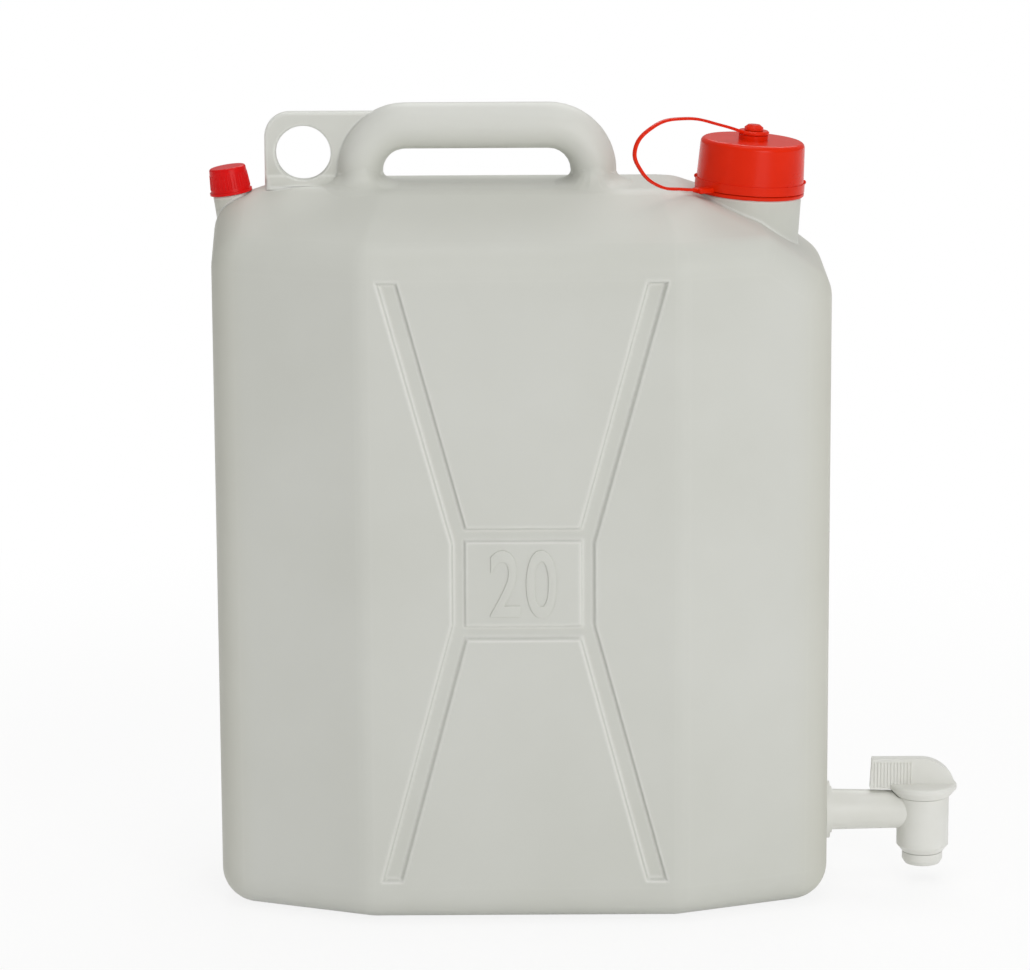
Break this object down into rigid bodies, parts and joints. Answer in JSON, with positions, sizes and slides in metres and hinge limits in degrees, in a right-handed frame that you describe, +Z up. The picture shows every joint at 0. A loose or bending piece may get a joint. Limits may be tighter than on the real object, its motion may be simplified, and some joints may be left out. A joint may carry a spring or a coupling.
{
  "type": "carboy with spigot",
  "caption": "Upright plastic liquid can with carrying handle, strapped screw cap, small vent cap and a quarter-turn tap near the base.",
  "frame": {"origin": "middle of the can's base, on the surface it stands on", "axes": "+X towards the tap and the filler cap, +Z up, front at -Y"},
  "size_m": [0.4227, 0.174, 0.4509],
  "materials": {
    "can_plastic": "translucent natural polyethylene, satin",
    "filler_red": "glossy moulded red",
    "vent_red": "glossy moulded red",
    "liner_foam": "white foamed disc",
    "tap_white": "satin white moulding",
    "seal_rubber": "pale rubber"
  },
  "bodies": {
    "can": {"can_body": "can_plastic", "cap_strap": "filler_red", "tap_body": "tap_white", "tap_washer": "seal_rubber", "tap_nut": "tap_white"},
    "filler_seal": {"filler_cap_liner": "liner_foam"},
    "filler_cap": {"filler_cap": "filler_red"},
    "vent_seal": {"vent_cap_liner": "liner_foam"},
    "vent_cap": {"vent_cap": "vent_red"},
    "tap_handle": {"tap_handle": "tap_white"}
  },
  "joints": [
    {"name": "filler_cap_lift", "type": "slide", "parent": "can", "child": "filler_seal", "axis": [0.0698, 0, 0.9976], "range_m": [0, 0.009], "deforming": ["cap_strap"]},
    {"name": "filler_cap_turn", "type": "hinge", "parent": "filler_seal", "child": "filler_cap", "pos_m": [0.1273, 0, 0.3994], "axis": [0.0698, 0, 0.9976], "range_deg": [0, 540]},
    {"name": "vent_cap_lift", "type": "slide", "parent": "can", "child": "vent_seal", "axis": [-0.1478, 0, 0.989], "range_m": [0, 0.0075]},
    {"name": "vent_cap_turn", "type": "hinge", "parent": "vent_seal", "child": "vent_cap", "pos_m": [-0.1619, 0, 0.4005], "axis": [-0.1478, 0, 0.989], "range_deg": [0, 900]},
    {"name": "tap_turn", "type": "hinge", "parent": "can", "child": "tap_handle", "pos_m": [0.2293, 0, 0.0403], "axis": [0, 0, 1], "range_deg": [0, 90]}
  ],
  "couplings": [
    {"joint": "filler_cap_lift", "follows": "filler_cap_turn", "m_per_rad": 0.00095493},
    {"joint": "vent_cap_lift", "follows": "vent_cap_turn", "m_per_rad": 0.00047746}
  ]
}
